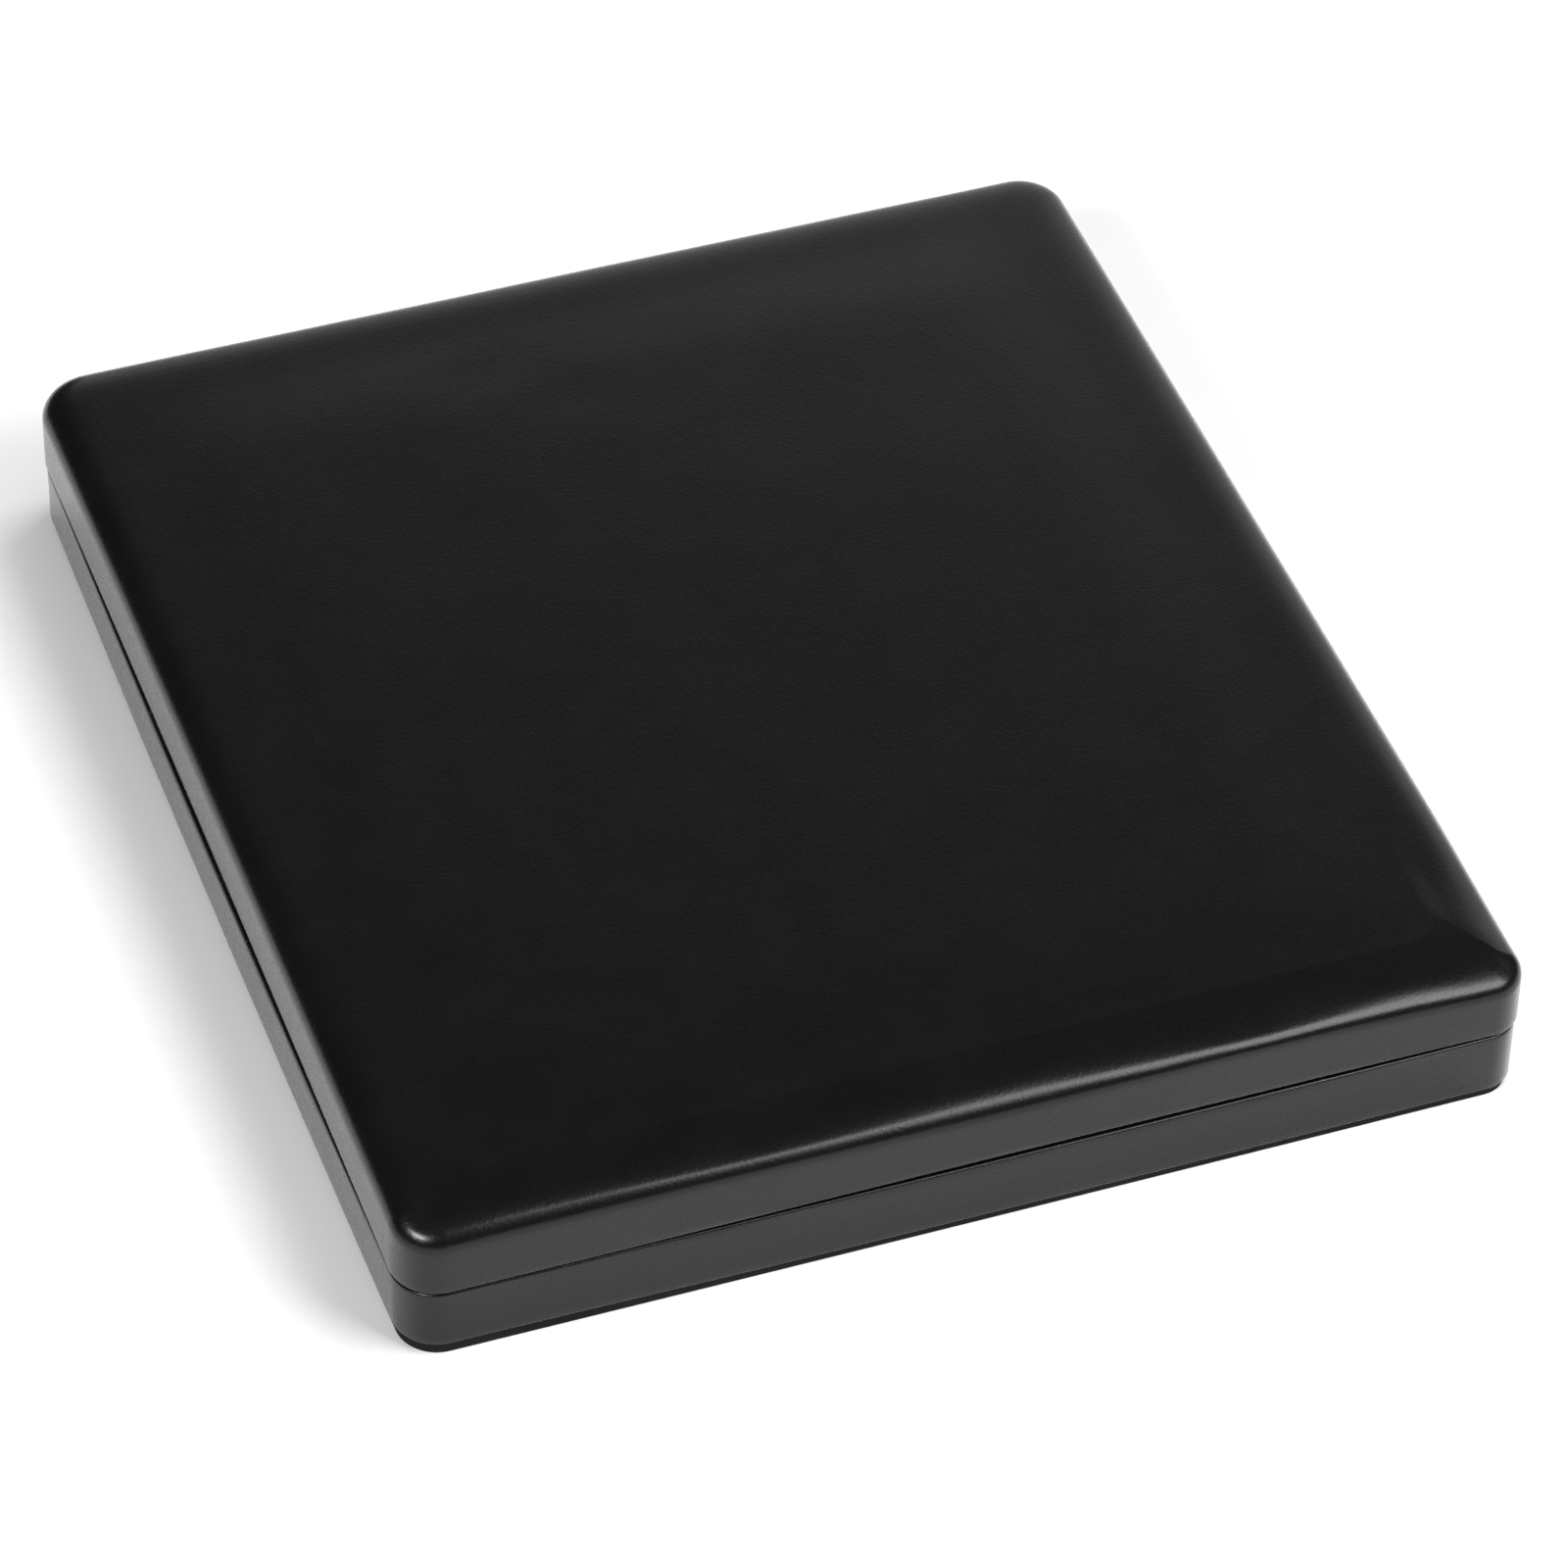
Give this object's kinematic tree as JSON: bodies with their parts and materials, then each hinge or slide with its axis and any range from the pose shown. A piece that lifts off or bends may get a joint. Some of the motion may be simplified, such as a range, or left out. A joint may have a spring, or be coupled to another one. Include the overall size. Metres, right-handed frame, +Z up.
{
  "type": "coin slab box",
  "caption": "Flat hinged leatherette presentation box with a padded lid and an insert with rectangular pockets for coin slabs.",
  "frame": {"origin": "under the middle of the closed box, on the surface that it rests on", "axes": "+Z up, -Y to the front that opens, +Y to the hinges, +X to the right of someone in front"},
  "size_m": [0.18, 0.207, 0.027],
  "materials": {
    "leatherette": "fine-grained black leatherette, satin",
    "backing_paper": "black embossed backing paper, matt",
    "shell_plastic": "moulded black plastic",
    "velour": "short black velour",
    "foam": "soft padding foam",
    "board": "grey pressed board",
    "satin": "black satin, glossy along the weave",
    "hinge_steel": "nickelled spring steel"
  },
  "bodies": {
    "base": {"underside_panel": "backing_paper", "base_cover": "leatherette", "base_shell": "shell_plastic", "tray_board": "velour", "tray_frame": "velour", "left_hinge_base_leaf": "hinge_steel", "left_hinge_pin": "hinge_steel", "left_hinge_snap_spring": "hinge_steel", "left_hinge_base_rivet_left": "hinge_steel", "left_hinge_base_rivet_right": "hinge_steel", "right_hinge_base_leaf": "hinge_steel", "right_hinge_pin": "hinge_steel", "right_hinge_snap_spring": "hinge_steel", "right_hinge_base_rivet_left": "hinge_steel", "right_hinge_base_rivet_right": "hinge_steel"},
    "lid": {"lid_shell": "shell_plastic", "lid_foam": "foam", "lid_cover": "leatherette", "lining_board": "board", "lining_wadding": "foam", "lining_satin": "satin", "left_hinge_lid_leaf": "hinge_steel", "left_hinge_lid_rivet_left": "hinge_steel", "left_hinge_lid_rivet_right": "hinge_steel", "right_hinge_lid_leaf": "hinge_steel", "right_hinge_lid_rivet_left": "hinge_steel", "right_hinge_lid_rivet_right": "hinge_steel"}
  },
  "joints": [
    {"name": "lid_hinge", "type": "hinge", "parent": "base", "child": "lid", "pos_m": [0, 0.10135, 0.0133], "axis": [-1, 0, 0], "range_deg": [0, 95]}
  ]
}
